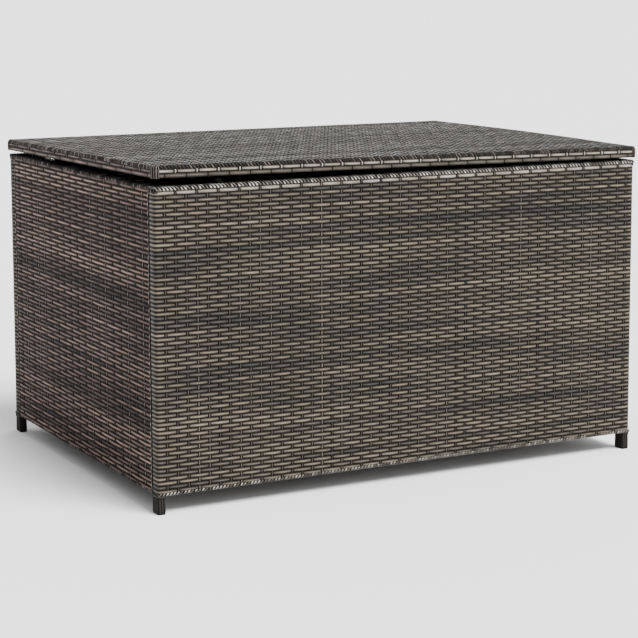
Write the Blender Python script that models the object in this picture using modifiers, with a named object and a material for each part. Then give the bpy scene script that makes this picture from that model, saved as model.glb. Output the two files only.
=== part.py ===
"""Woven garden storage box: four panels on tube frames, and a lid on two hinges and two gas struts.

Metres. X runs along the front from left to right, Y from front to back and Z up. The origin is on the
ground, in the middle of the box.
"""

import math

import bmesh
import bpy
from mathutils import Matrix, Vector

# Outside of the box
WIDTH = 1.200  # over the side weaves
DEPTH = 0.880  # over the front and back weaves
HEIGHT = 0.715  # ground to the top of the lid
FOOT_HEIGHT = 0.040  # ground to the lower edge of the panels
LID_THICKNESS = 0.023
LID_GAP = 0.012  # slot between the rim and the lid
LID_OVERHANG = 0.004  # lid past the panels, all round

# Weave and the room that it takes
WEAVE = 0.003  # panel weave
LID_WEAVE = 0.004
LID_WEAVE_SEAT = 0.0005  # between the lid's tubes and its weave
WRAP = 0.002  # strip wound round a tube
TOUCH = 0.0003  # gap kept between pieces that touch

# Tubes
WALL = 0.0012
TUBE_CORNER = 0.002
LEG_FACE = 0.015  # long panel tubes, across their face
LEG_DEPTH = 0.030  # long panel tubes, through the panel
SIDE_TUBE = 0.020  # square tubes of the side panels
LID_TUBE_WIDTH = 0.030
LID_TUBE_HEIGHT = 0.018
FLOOR_BAR = 0.020  # square tubes under the floor

# Floor
FLOOR_BOARD = 0.005
FLOOR_BAR_OFFSET = 0.200  # from the middle
FLOOR_CLEARANCE = 0.0007  # board edge to the panels
LID_CROSSBAR_OFFSET = 0.200

# Foot glides
GLIDE_BASE = 0.004
GLIDE_SPIGOT = 0.014

# Panel bolts
BOLT_RADIUS = 0.003
BOLT_CLEARANCE = 0.0003
BOLT_HEAD_RADIUS = 0.0055
BOLT_HEAD = 0.004
BOLT_REACH = 0.010  # past the inner face of the leg
BOLT_SOCKET_RADIUS = 0.0025
BOLT_SOCKET_DEPTH = 0.002
BOLT_FROM_EDGE = 0.140  # below the rim, and above the lower edge

# Hinges
HINGE_OFFSET = 0.420  # from the middle
HINGE_FROM_BACK = 0.004  # hinge line in from the outside of the back panel
HINGE_WIDTH = 0.060
HINGE_LEAF = 0.002
HINGE_LEAF_LENGTH = 0.027
HINGE_LEAF_SEAT = 0.0005  # leaf inside the slot's upper or lower edge
HINGE_LEAF_ROOT = 0.001  # how far a knuckle sinks into its leaf
HINGE_MIDDLE_KNUCKLE = 0.022
HINGE_KNUCKLE_GAP = 0.0005
HINGE_PIN_RADIUS = 0.002
HINGE_PIN_CLEARANCE = 0.0003

# Gas struts. Both pivots are as far from the hinge line, so the strut turns half as far as the lid.
LID_OPENING = math.radians(75)
STRUT_ARM = 0.180  # hinge line to either pivot
STRUT_LID_PIVOT_DROP = math.radians(3)  # lid pivot below the level of the hinge line
STRUT_CLOSED_ANGLE = math.radians(64)  # between the two arms
STRUT_FROM_SIDE = 0.0167  # strut line in from the side panel's tubes
STRUT_RADIUS = 0.0075
STRUT_WALL = 0.0015
STRUT_END_WALL = 0.0055
STRUT_ROD_RADIUS = 0.004
STRUT_ROD_CLEARANCE = 0.0003
STRUT_PISTON = 0.006
STRUT_EYE_RADIUS = 0.009
STRUT_EYE = 0.008
STRUT_BORE_START = 0.012  # pivot to the bottom of the bore
ROD_EYE_RADIUS = 0.008
ROD_EYE = 0.0082  # thicker than the rod, so that the stud beside it clears both
STUD_RADIUS = 0.004
STUD_CLEARANCE = 0.0003
STUD_OPEN_GAP = 0.0005  # sideways, between the lid stud and the rod's eye
BRACKET = 0.0025
BRACKET_HALF_HEIGHT = 0.024
BRACKET_NOSE = 0.012  # bracket past its stud
LID_BRACKET_HALF_LENGTH = 0.020
LID_BRACKET_FLANGE = 0.022

# Bumpers
BUMPER_RADIUS = 0.008
BUMPER_OFFSET = 0.450

ROUND_STEPS = 24

# Levels
RIM = HEIGHT - LID_THICKNESS - LID_GAP
TUBE_TOP = RIM - WRAP
TUBE_BOTTOM = FOOT_HEIGHT + WRAP
LID_TUBE_TOP = HEIGHT - LID_WEAVE - LID_WEAVE_SEAT
LID_TUBE_BOTTOM = LID_TUBE_TOP - LID_TUBE_HEIGHT

# Distances from the middle planes
LEG_OUTER_X = WIDTH / 2 - WRAP
LEG_INNER_X = LEG_OUTER_X - LEG_FACE
LEG_OUTER_Y = DEPTH / 2 - WEAVE - TOUCH
LEG_INNER_Y = LEG_OUTER_Y - LEG_DEPTH
SIDE_END_Y = LEG_INNER_Y - TOUCH
SIDE_OUTER_X = WIDTH / 2 - WEAVE - TOUCH
SIDE_INNER_X = SIDE_OUTER_X - SIDE_TUBE
LID_EDGE_X = WIDTH / 2 + LID_OVERHANG
LID_EDGE_Y = DEPTH / 2 + LID_OVERHANG
LID_TUBE_OUTER_X = LID_EDGE_X - WRAP
LID_TUBE_OUTER_Y = LID_EDGE_Y - WRAP
LID_TUBE_INNER_X = LID_TUBE_OUTER_X - LID_TUBE_WIDTH
LID_TUBE_INNER_Y = LID_TUBE_OUTER_Y - LID_TUBE_WIDTH

# Hinge line and strut pivots
HINGE_Y = DEPTH / 2 - HINGE_FROM_BACK
HINGE_Z = RIM + LID_GAP / 2
HINGE_LEAF_REACH = LID_GAP / 2 - HINGE_LEAF_SEAT  # hinge line to a leaf's far face
HINGE_KNUCKLE_RADIUS = HINGE_LEAF_REACH - HINGE_LEAF + HINGE_LEAF_ROOT
STRUT_X = SIDE_INNER_X - STRUT_FROM_SIDE


def on_strut_arm(drop):
    """The point one strut arm from the hinge line, towards the front and down by this angle."""
    return Vector((0, HINGE_Y - STRUT_ARM * math.cos(drop), HINGE_Z - STRUT_ARM * math.sin(drop)))


LID_PIVOT = on_strut_arm(STRUT_LID_PIVOT_DROP)
BODY_PIVOT = on_strut_arm(STRUT_LID_PIVOT_DROP + STRUT_CLOSED_ANGLE)
STRUT_CLOSED = 2 * STRUT_ARM * math.sin(STRUT_CLOSED_ANGLE / 2)
STRUT_OPEN = 2 * STRUT_ARM * math.sin((STRUT_CLOSED_ANGLE + LID_OPENING) / 2)
STRUT_STROKE = STRUT_OPEN - STRUT_CLOSED

for old in list(bpy.data.objects):
    bpy.data.objects.remove(old, do_unlink=True)

parts = bpy.data.collections.new("wicker_storage_box")
helpers = bpy.data.collections.new("cutters")
bpy.context.scene.collection.children.link(parts)
bpy.context.scene.collection.children.link(helpers)


def finish(name, colour, roughness, metallic=0.0):
    """A plain material with one colour."""
    made = bpy.data.materials.new(name)
    made.use_nodes = True
    shader = made.node_tree.nodes["Principled BSDF"]
    shader.inputs["Base Color"].default_value = (*colour, 1.0)
    shader.inputs["Roughness"].default_value = roughness
    shader.inputs["Metallic"].default_value = metallic
    return made


weave_plastic = finish("weave_plastic", (0.17, 0.145, 0.125), 0.5)
frame_paint = finish("frame_paint", (0.035, 0.030, 0.027), 0.45, 0.3)
floor_plastic = finish("floor_plastic", (0.045, 0.042, 0.040), 0.6)
zinc_steel = finish("zinc_steel", (0.55, 0.55, 0.54), 0.35, 1.0)
strut_paint = finish("strut_paint", (0.02, 0.02, 0.02), 0.35, 0.2)
rod_chrome = finish("rod_chrome", (0.75, 0.75, 0.76), 0.12, 1.0)
black_rubber = finish("black_rubber", (0.02, 0.02, 0.02), 0.75)


def settle(obj, name, material):
    """Names an object, gives it its material and files it with the parts."""
    obj.name = name
    obj.data.name = name
    for holder in list(obj.users_collection):
        holder.objects.unlink(obj)
    parts.objects.link(obj)
    obj.data.materials.clear()
    obj.data.materials.append(material)
    return obj


def as_helper(obj, name):
    """Files an object that only shapes another one."""
    obj.name = name
    for holder in list(obj.users_collection):
        holder.objects.unlink(obj)
    helpers.objects.link(obj)
    obj.hide_render = True
    obj.display_type = "WIRE"
    return obj


def mirrored(sign, near, far):
    """The stretch from near to far on one side of a middle plane, low end first."""
    return tuple(sorted((sign * near, sign * far)))


def raw_box(x, y, z):
    """A cuboid between (low, high) pairs."""
    centre = [(low + high) / 2 for low, high in (x, y, z)]
    size = [high - low for low, high in (x, y, z)]
    bpy.ops.mesh.primitive_cube_add(size=1, location=centre, scale=size)
    bpy.ops.object.transform_apply(location=False, rotation=False, scale=True)
    return bpy.context.object


def raw_cylinder(radius, along, low, high, centre, vertices=ROUND_STEPS):
    """A cylinder along one axis between low and high; centre gives its other two coordinates."""
    place = list(centre)
    place["XYZ".index(along)] = (low + high) / 2
    turn = {"X": (0, math.pi / 2, 0), "Y": (math.pi / 2, 0, 0), "Z": (0, 0, 0)}[along]
    bpy.ops.mesh.primitive_cylinder_add(
        radius=radius, depth=high - low, vertices=vertices, location=place, rotation=turn
    )
    bpy.ops.object.transform_apply(location=False, rotation=True, scale=False)
    return bpy.context.object


def soften(obj, width, segments=2):
    """Rounds the edges that are sharper than 30 degrees."""
    bevel = obj.modifiers.new("rounded_edges", "BEVEL")
    bevel.width = width
    bevel.segments = segments
    bevel.limit_method = "ANGLE"
    return obj


def boolean(obj, other, operation):
    step = obj.modifiers.new(f"{operation.lower()}_{other.name}", "BOOLEAN")
    step.operation = operation
    step.object = other
    return obj


def plate(name, x, y, z, material, rounding=0.0005):
    return soften(settle(raw_box(x, y, z), name, material), rounding, 1)


def tube(name, x, y, z, along, material=frame_paint):
    """A rectangular tube with open ends, along one axis."""
    obj = settle(raw_box(x, y, z), name, material)
    mesh = bmesh.new()
    mesh.from_mesh(obj.data)
    axis = "XYZ".index(along)
    ends = [face for face in mesh.faces if abs(face.normal[axis]) > 0.9]
    bmesh.ops.delete(mesh, geom=ends, context="FACES_ONLY")
    mesh.to_mesh(obj.data)
    mesh.free()
    soften(obj, TUBE_CORNER)
    wall = obj.modifiers.new("wall", "SOLIDIFY")
    wall.thickness = WALL
    wall.offset = -1
    wall.use_even_offset = True
    return obj


def turned(name, profile, place, turn, material):
    """A solid of revolution about its own Z axis, from (radius, height) points that run down its outside."""
    mesh = bpy.data.meshes.new(name)
    edges = [(i, i + 1) for i in range(len(profile) - 1)]
    mesh.from_pydata([(radius, 0, height) for radius, height in profile], edges, [])
    obj = bpy.data.objects.new(name, mesh)
    obj.location = place
    obj.rotation_euler = turn
    parts.objects.link(obj)
    mesh.materials.append(material)
    screw = obj.modifiers.new("turn", "SCREW")
    screw.steps = ROUND_STEPS
    screw.render_steps = ROUND_STEPS
    screw.use_merge_vertices = True
    screw.merge_threshold = 0.00001
    screw.use_smooth_shade = False
    return obj


def pivot(name, place):
    """An empty on a joint's axis."""
    empty = bpy.data.objects.new(name, None)
    empty.location = place
    empty.empty_display_size = 0.03
    parts.objects.link(empty)
    return empty


def hang(obj, parent, parent_place):
    """Parents an object to an unturned empty, and leaves it where it is."""
    obj.parent = parent
    obj.matrix_parent_inverse = Matrix.Translation(-Vector(parent_place))


def glide(name, x, y):
    """A foot glide: a base under the leg and a spigot up into the tube."""
    obj = settle(raw_box(x, y, (0, GLIDE_BASE)), name, black_rubber)
    mesh = bmesh.new()
    mesh.from_mesh(obj.data)
    top = [face for face in mesh.faces if face.normal.z > 0.9]
    bmesh.ops.inset_region(mesh, faces=top, thickness=WALL + TOUCH, use_even_offset=True)
    raised = bmesh.ops.extrude_face_region(mesh, geom=top)["geom"]
    bmesh.ops.delete(mesh, geom=top, context="FACES_ONLY")
    corners = [item for item in raised if isinstance(item, bmesh.types.BMVert)]
    bmesh.ops.translate(mesh, verts=corners, vec=(0, 0, GLIDE_SPIGOT))
    upright = [
        edge for edge in mesh.edges if abs(edge.verts[0].co.z - edge.verts[1].co.z) > GLIDE_SPIGOT / 2
    ]
    bmesh.ops.bevel(mesh, geom=upright, offset=TUBE_CORNER - WALL, segments=1, affect="EDGES")
    bmesh.ops.recalc_face_normals(mesh, faces=mesh.faces)
    mesh.to_mesh(obj.data)
    mesh.free()
    return obj


def bolt_heights():
    return (RIM - BOLT_FROM_EDGE, FOOT_HEIGHT + BOLT_FROM_EDGE)


def bolt_x(side):
    """Bolts stand in the middle of what the leg and the stile share."""
    return side * (min(LEG_OUTER_X, SIDE_OUTER_X) + max(LEG_INNER_X, SIDE_INNER_X)) / 2


def drill(obj, side, face, height, name):
    """A clearance hole for a panel bolt, through the stile and into the leg."""
    low, high = mirrored(face, SIDE_END_Y - SIDE_TUBE - BOLT_HEAD, LEG_INNER_Y + BOLT_REACH)
    cutter = raw_cylinder(
        BOLT_RADIUS + BOLT_CLEARANCE, "Y", low, high, (bolt_x(side), 0, height), ROUND_STEPS // 2
    )
    boolean(obj, as_helper(cutter, f"{name}_hole_{height:.3f}"), "DIFFERENCE")


def long_panel(word, face):
    """The front or back panel: two legs, two rails, a mid post and the weave."""
    y = mirrored(face, LEG_INNER_Y, LEG_OUTER_Y)
    for side_word, side in (("left", -1), ("right", 1)):
        x = mirrored(side, LEG_INNER_X, LEG_OUTER_X)
        leg = tube(f"{word}_{side_word}_leg", x, y, (GLIDE_BASE + TOUCH, TUBE_TOP), "Z")
        for height in bolt_heights():
            drill(leg, side, face, height, leg.name)
        glide(f"{word}_{side_word}_foot_glide", x, y)
    rail_x = (TOUCH - LEG_INNER_X, LEG_INNER_X - TOUCH)
    tube(f"{word}_top_rail", rail_x, y, (TUBE_TOP - LEG_FACE, TUBE_TOP), "X")
    tube(f"{word}_bottom_rail", rail_x, y, (TUBE_BOTTOM, TUBE_BOTTOM + LEG_FACE), "X")
    post_z = (TUBE_BOTTOM + LEG_FACE + TOUCH, TUBE_TOP - LEG_FACE - TOUCH)
    tube(f"{word}_mid_post", (-LEG_FACE / 2, LEG_FACE / 2), y, post_z, "Z")
    weave_y = mirrored(face, DEPTH / 2 - WEAVE, DEPTH / 2)
    plate(f"{word}_weave", (-WIDTH / 2, WIDTH / 2), weave_y, (FOOT_HEIGHT, RIM), weave_plastic)


def side_panel(word, side):
    """The left or right panel, which stands between the long ones: two stiles, two rails and the weave."""
    x = mirrored(side, SIDE_INNER_X, SIDE_OUTER_X)
    for face_word, face in (("front", -1), ("back", 1)):
        y = mirrored(face, SIDE_END_Y - SIDE_TUBE, SIDE_END_Y)
        stile = tube(f"{word}_{face_word}_stile", x, y, (TUBE_BOTTOM, TUBE_TOP), "Z")
        for height in bolt_heights():
            drill(stile, side, face, height, stile.name)
    rail_y = mirrored(1, SIDE_TUBE + TOUCH - SIDE_END_Y, SIDE_END_Y - SIDE_TUBE - TOUCH)
    tube(f"{word}_top_rail", x, rail_y, (TUBE_TOP - SIDE_TUBE, TUBE_TOP), "Y")
    tube(f"{word}_bottom_rail", x, rail_y, (TUBE_BOTTOM, TUBE_BOTTOM + SIDE_TUBE), "Y")
    weave_x = mirrored(side, WIDTH / 2 - WEAVE, WIDTH / 2)
    plate(f"{word}_weave", weave_x, (-SIDE_END_Y, SIDE_END_Y), (FOOT_HEIGHT, RIM), weave_plastic)


def panel_bolts():
    """Socket-head bolts from inside the box, through each stile into the leg beside it."""
    head_face = SIDE_END_Y - SIDE_TUBE - TOUCH
    profile = (
        (0, BOLT_HEAD),
        (BOLT_HEAD_RADIUS, BOLT_HEAD),
        (BOLT_HEAD_RADIUS, 0),
        (BOLT_RADIUS, 0),
        (BOLT_RADIUS, head_face - LEG_INNER_Y - BOLT_REACH),
        (0, head_face - LEG_INNER_Y - BOLT_REACH),
    )
    for face_word, face in (("front", -1), ("back", 1)):
        for side_word, side in (("left", -1), ("right", 1)):
            for level_word, height in zip(("upper", "lower"), bolt_heights()):
                name = f"{face_word}_{side_word}_{level_word}_bolt"
                place = (bolt_x(side), face * head_face, height)
                bolt = turned(name, profile, place, (face * math.pi / 2, 0, 0), zinc_steel)
                head_top = head_face - BOLT_HEAD
                low, high = mirrored(face, head_top - BOLT_HEAD, head_top + BOLT_SOCKET_DEPTH)
                socket = raw_cylinder(BOLT_SOCKET_RADIUS, "Y", low, high, (place[0], 0, height), 6)
                boolean(bolt, as_helper(socket, f"{name}_socket"), "DIFFERENCE")


def storage_floor():
    """Two bars between the long panels' bottom rails, and a board on them."""
    for word, side in (("left", -1), ("right", 1)):
        x = (side * FLOOR_BAR_OFFSET - FLOOR_BAR / 2, side * FLOOR_BAR_OFFSET + FLOOR_BAR / 2)
        y = (TOUCH - LEG_INNER_Y, LEG_INNER_Y - TOUCH)
        tube(f"{word}_floor_bar", x, y, (TUBE_BOTTOM, TUBE_BOTTOM + FLOOR_BAR), "Y")
    half_x = SIDE_INNER_X - FLOOR_CLEARANCE
    half_y = LEG_INNER_Y - FLOOR_CLEARANCE
    low = TUBE_BOTTOM + max(FLOOR_BAR, LEG_FACE) + TOUCH
    plate("floor_board", (-half_x, half_x), (-half_y, half_y), (low, low + FLOOR_BOARD), floor_plastic)


def lid(hinge):
    """Four rails, two crossbars and the woven top."""
    z = (LID_TUBE_BOTTOM, LID_TUBE_TOP)
    made = []
    for word, face in (("front", -1), ("back", 1)):
        x = (-LID_TUBE_OUTER_X, LID_TUBE_OUTER_X)
        y = mirrored(face, LID_TUBE_INNER_Y, LID_TUBE_OUTER_Y)
        made.append(tube(f"lid_{word}_rail", x, y, z, "X"))
    between = (TOUCH - LID_TUBE_INNER_Y, LID_TUBE_INNER_Y - TOUCH)
    for word, side in (("left", -1), ("right", 1)):
        x = mirrored(side, LID_TUBE_INNER_X, LID_TUBE_OUTER_X)
        made.append(tube(f"lid_{word}_rail", x, between, z, "Y"))
        near, far = LID_CROSSBAR_OFFSET - LID_TUBE_WIDTH / 2, LID_CROSSBAR_OFFSET + LID_TUBE_WIDTH / 2
        made.append(tube(f"lid_{word}_crossbar", mirrored(side, near, far), between, z, "Y"))
    x = (-LID_EDGE_X, LID_EDGE_X)
    y = (-LID_EDGE_Y, LID_EDGE_Y)
    made.append(plate("lid_weave", x, y, (HEIGHT - LID_WEAVE, HEIGHT), weave_plastic, 0.001))
    for obj in made:
        hang(obj, hinge, hinge.location)


def hinge_leaf(name, middle_x, on_lid, helper_names):
    """One leaf with its knuckles and pin bore.

    The lid leaf has the middle knuckle, the body leaf the outer two.
    """
    flip = 1 if on_lid else -1
    z = mirrored(flip, HINGE_LEAF_REACH - HINGE_LEAF, HINGE_LEAF_REACH)
    x = (middle_x - HINGE_WIDTH / 2, middle_x + HINGE_WIDTH / 2)
    y = (HINGE_Y - HINGE_LEAF_LENGTH, HINGE_Y)
    leaf = settle(raw_box(x, y, (HINGE_Z + z[0], HINGE_Z + z[1])), name, zinc_steel)
    barrel = raw_cylinder(HINGE_KNUCKLE_RADIUS, "X", *x, (0, HINGE_Y, HINGE_Z))
    boolean(leaf, as_helper(barrel, helper_names + "_barrel"), "UNION")
    half = HINGE_MIDDLE_KNUCKLE / 2
    clear = HINGE_KNUCKLE_RADIUS + HINGE_KNUCKLE_GAP
    if on_lid:
        gaps = ((x[0] - clear, middle_x - half), (middle_x + half, x[1] + clear))
    else:
        gaps = ((middle_x - half - HINGE_KNUCKLE_GAP, middle_x + half + HINGE_KNUCKLE_GAP),)
    for index, gap in enumerate(gaps):
        notch_y = (HINGE_Y - clear, HINGE_Y + clear)
        notch = raw_box(gap, notch_y, (HINGE_Z - 2 * clear, HINGE_Z + 2 * clear))
        boolean(leaf, as_helper(notch, f"{helper_names}_notch_{index}"), "DIFFERENCE")
    bore = raw_cylinder(
        HINGE_PIN_RADIUS + HINGE_PIN_CLEARANCE, "X", x[0] - clear, x[1] + clear, (0, HINGE_Y, HINGE_Z)
    )
    boolean(leaf, as_helper(bore, helper_names + "_bore"), "DIFFERENCE")
    return leaf


def hinges(hinge):
    """Two butt hinges in the slot over the back rail."""
    for word, side in (("left", -1), ("right", 1)):
        middle = side * HINGE_OFFSET
        hinge_leaf(f"{word}_hinge_body_leaf", middle, False, f"{word}_body_leaf")
        on_lid = hinge_leaf(f"{word}_hinge_lid_leaf", middle, True, f"{word}_lid_leaf")
        hang(on_lid, hinge, hinge.location)
        ends = (middle - HINGE_WIDTH / 2, middle + HINGE_WIDTH / 2)
        pin = raw_cylinder(HINGE_PIN_RADIUS, "X", *ends, (0, HINGE_Y, HINGE_Z))
        settle(pin, f"{word}_hinge_pin", zinc_steel)


def eye(radius, thickness, x, place, name):
    return as_helper(raw_cylinder(radius, "X", x - thickness / 2, x + thickness / 2, place), name)


def gas_strut(word, side, hinge):
    """A cylinder on the side panel, a rod that slides out of it, and the two brackets."""
    x = side * STRUT_X
    foot = Vector((x, BODY_PIVOT.y, BODY_PIVOT.z))
    head = Vector((x, LID_PIVOT.y, LID_PIVOT.z))
    along = head - foot
    turn = (math.atan2(-along.y, along.z), 0, 0)
    swivel = pivot(f"{word}_strut_pivot", foot)

    bore = STRUT_RADIUS - STRUT_WALL
    gland = STRUT_ROD_RADIUS + STRUT_ROD_CLEARANCE
    bore_end = STRUT_BORE_START + STRUT_STROKE + STRUT_PISTON + 3 * STRUT_ROD_CLEARANCE
    top = bore_end + STRUT_END_WALL
    shell = (
        (0, STRUT_BORE_START),
        (bore, STRUT_BORE_START),
        (bore, bore_end),
        (gland, bore_end),
        (gland, top),
        (STRUT_RADIUS, top),
        (STRUT_RADIUS, STUD_RADIUS),
        (0, STUD_RADIUS),
    )
    cylinder = turned(f"{word}_strut_cylinder", shell, foot, turn, strut_paint)
    boolean(cylinder, eye(STRUT_EYE_RADIUS, STRUT_EYE, x, foot, f"{word}_cylinder_eye"), "UNION")
    hole_length = 2 * STRUT_RADIUS + STRUT_EYE
    stud_hole = eye(STUD_RADIUS + STUD_CLEARANCE, hole_length, x, foot, f"{word}_cylinder_hole")
    boolean(cylinder, stud_hole, "DIFFERENCE")
    hang(cylinder, swivel, foot)

    piston_low = STRUT_BORE_START + STRUT_ROD_CLEARANCE
    rod_profile = (
        (0, STRUT_CLOSED),
        (STRUT_ROD_RADIUS, STRUT_CLOSED),
        (STRUT_ROD_RADIUS, piston_low + STRUT_PISTON),
        (bore - STRUT_ROD_CLEARANCE, piston_low + STRUT_PISTON),
        (bore - STRUT_ROD_CLEARANCE, piston_low),
        (0, piston_low),
    )
    rod = turned(f"{word}_strut_rod", rod_profile, foot, turn, rod_chrome)
    boolean(rod, eye(ROD_EYE_RADIUS, ROD_EYE, x, head, f"{word}_rod_eye"), "UNION")
    hang(rod, swivel, foot)

    plate_x = mirrored(side, SIDE_INNER_X - TOUCH - BRACKET, SIDE_INNER_X - TOUCH)
    plate_y = (foot.y - BRACKET_NOSE, SIDE_END_Y - TOUCH)
    plate_z = (foot.z - BRACKET_HALF_HEIGHT, foot.z + BRACKET_HALF_HEIGHT)
    body_bracket = settle(raw_box(plate_x, plate_y, plate_z), f"{word}_strut_body_bracket", zinc_steel)
    stud = mirrored(side, STRUT_X - STRUT_EYE / 2, SIDE_INNER_X - BRACKET / 2)
    body_stud = raw_cylinder(STUD_RADIUS, "X", *stud, foot)
    boolean(body_bracket, as_helper(body_stud, f"{word}_body_stud"), "UNION")

    arm_near = STRUT_X + STRUT_RADIUS + STUD_CLEARANCE
    arm_x = mirrored(side, arm_near, arm_near + BRACKET)
    arm_y = (head.y - LID_BRACKET_HALF_LENGTH, head.y + LID_BRACKET_HALF_LENGTH)
    flange_top = LID_TUBE_BOTTOM - TOUCH
    arm = raw_box(arm_x, arm_y, (head.z - STUD_RADIUS - BRACKET, flange_top))
    lid_bracket = settle(arm, f"{word}_strut_lid_bracket", zinc_steel)
    flange_x = mirrored(side, arm_near, arm_near + LID_BRACKET_FLANGE)
    flange = raw_box(flange_x, arm_y, (flange_top - BRACKET, flange_top))
    boolean(lid_bracket, as_helper(flange, f"{word}_lid_flange"), "UNION")
    stud = mirrored(side, STRUT_X + ROD_EYE / 2 + STUD_OPEN_GAP, arm_near + BRACKET / 2)
    lid_stud = raw_cylinder(STUD_RADIUS, "X", *stud, head)
    boolean(lid_bracket, as_helper(lid_stud, f"{word}_lid_stud"), "UNION")
    hang(lid_bracket, hinge, hinge.location)


def bumpers():
    """Two rubber buttons on the front rail that the lid rests on."""
    middle_y = -(LEG_OUTER_Y + LEG_INNER_Y) / 2
    for word, side in (("left", -1), ("right", 1)):
        low, high = TUBE_TOP + TOUCH, LID_TUBE_BOTTOM - TOUCH
        button = raw_cylinder(BUMPER_RADIUS, "Z", low, high, (side * BUMPER_OFFSET, middle_y, 0))
        soften(settle(button, f"{word}_bumper", black_rubber), 0.0015)


def smooth_round_pieces():
    for obj in parts.objects:
        if obj.type == "MESH":
            obj.data.shade_smooth()
            obj.data.set_sharp_from_angle(angle=math.radians(30))


lid_hinge = pivot("lid_hinge_line", (0, HINGE_Y, HINGE_Z))
long_panel("front", -1)
long_panel("back", 1)
side_panel("left", -1)
side_panel("right", 1)
panel_bolts()
storage_floor()
lid(lid_hinge)
hinges(lid_hinge)
gas_strut("left", -1, lid_hinge)
gas_strut("right", 1, lid_hinge)
bumpers()
smooth_round_pieces()
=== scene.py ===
import math

import bmesh
import bpy
import numpy as np
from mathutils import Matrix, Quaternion, Vector


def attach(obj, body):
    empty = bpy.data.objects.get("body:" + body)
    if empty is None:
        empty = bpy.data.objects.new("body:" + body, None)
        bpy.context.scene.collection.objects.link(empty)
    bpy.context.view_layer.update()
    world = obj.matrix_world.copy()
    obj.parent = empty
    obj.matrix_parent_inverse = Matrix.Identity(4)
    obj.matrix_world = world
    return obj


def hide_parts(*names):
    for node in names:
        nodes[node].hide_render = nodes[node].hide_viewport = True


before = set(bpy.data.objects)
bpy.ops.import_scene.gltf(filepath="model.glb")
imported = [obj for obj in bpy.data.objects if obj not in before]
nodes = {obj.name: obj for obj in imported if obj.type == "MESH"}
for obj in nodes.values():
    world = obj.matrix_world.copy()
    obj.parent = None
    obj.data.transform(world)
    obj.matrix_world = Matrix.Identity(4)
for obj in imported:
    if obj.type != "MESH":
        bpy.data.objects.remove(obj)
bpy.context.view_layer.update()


print("frame loaded:", len(nodes), "pieces")


def clearSelection():
    if bpy.context.mode != "OBJECT":
        bpy.ops.object.mode_set(mode="OBJECT")
    bpy.ops.object.select_all(action="DESELECT")


def pickUp(*objects):
    clearSelection()
    for obj in objects:
        obj.select_set(True)
    bpy.context.view_layer.objects.active = objects[0]


def openMesh(obj, everything=True):
    pickUp(obj)
    bpy.ops.object.mode_set(mode="EDIT")
    bpy.ops.mesh.select_all(action="SELECT" if everything else "DESELECT")


def closeMesh():
    bpy.ops.object.mode_set(mode="OBJECT")


def settle(obj):
    pickUp(obj)
    bpy.ops.object.transform_apply(location=True, rotation=True, scale=True)


def lay(obj, turn=(0, 0, 0), at=(0, 0, 0)):  # turn in degrees
    obj.rotation_euler = [math.radians(a) for a in turn]
    obj.location = at
    settle(obj)
    return obj


def addModifier(obj, kind, **settings):
    modifier = obj.modifiers.new(kind.title(), kind)
    for key, value in settings.items():
        setattr(modifier, key, value)
    return modifier


def applyModifiers(obj):
    pickUp(obj)
    for modifier in list(obj.modifiers):
        bpy.ops.object.modifier_apply(modifier=modifier.name)


def repeat(obj, count, step):
    addModifier(obj, "ARRAY", count=count, use_relative_offset=False,
                use_constant_offset=True, constant_offset_displace=step)
    applyModifiers(obj)
    return obj


def copyOf(obj, name):
    twin = obj.copy()
    twin.data = obj.data.copy()
    bpy.context.scene.collection.objects.link(twin)
    twin.name = twin.data.name = name
    return twin


def joined(name, *objects):
    pickUp(*objects)
    if len(objects) > 1:
        bpy.ops.object.join()
    objects[0].name = objects[0].data.name = name
    return objects[0]


def roundOff(obj, angle=40):
    pickUp(obj)
    bpy.ops.object.shade_smooth_by_angle(angle=math.radians(angle))


def roughen(obj, amount, size, direction):
    # a slow unevenness, the same on every run
    cloud = bpy.data.textures.new("unevenness", "CLOUDS")
    cloud.noise_scale = size
    cloud.noise_depth = 1
    addModifier(obj, "DISPLACE", texture=cloud, texture_coords="LOCAL",
                direction=direction, strength=amount, mid_level=0.5)
    applyModifiers(obj)


def drawStrip(name, stations, wide, thick):
    # A strip of lens section, its width along Z. A station is (x, y, z, heading in degrees, over), where over
    # is 1 where the strip lies over a stake, -1 where it lies under one and 0 where it lies free.
    x, y, z, heading = stations[0][:4]
    clearSelection()
    bpy.ops.mesh.primitive_circle_add(
        vertices=6, radius=1, fill_type="NGON", location=(x, y, z),
        rotation=(0, math.pi / 2, math.radians(heading)))
    strip = bpy.context.object
    strip.scale = (wide / 2, thick / math.sqrt(3), 1)
    strip.name = strip.data.name = name
    settle(strip)
    openMesh(strip)
    for nx, ny, nz, newHeading in [station[:4] for station in stations[1:]]:
        bpy.ops.mesh.extrude_region_move(
            TRANSFORM_OT_translate={"value": (nx - x, ny - y, nz - z)})
        if newHeading != heading:
            bpy.ops.transform.rotate(value=math.radians(heading - newHeading), orient_axis="Z",
                                     orient_type="GLOBAL", center_override=(nx, ny, nz))
        x, y, z, heading = nx, ny, nz, newHeading
    bpy.ops.mesh.select_all(action="SELECT")
    bpy.ops.mesh.normals_make_consistent(inside=False)
    closeMesh()
    markPaintedShade(strip, stations, wide)
    return strip


def markPaintedShade(strip, stations, wide):
    # painted shade: 1 on open faces, less at the strip's edges and where it dives out of sight
    unshaded = strip.data.attributes.new("open", "FLOAT", "POINT")
    for i, vertex in enumerate(strip.data.vertices):
        station = stations[min(i // 6, len(stations) - 1)]
        over = station[4] if len(station) > 4 else 0.0
        a = math.radians(station[3])
        side = (vertex.co.x - station[0]) * math.sin(a) - (vertex.co.y - station[1]) * math.cos(a)
        value = 1.0 - 0.92 * max(0.0, -over * (1 if side > 0 else -1)) ** 3
        if abs(vertex.co.z - station[2]) > wide * 0.4:
            value *= 0.04
        unshaded.data[i].value = value


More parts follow.
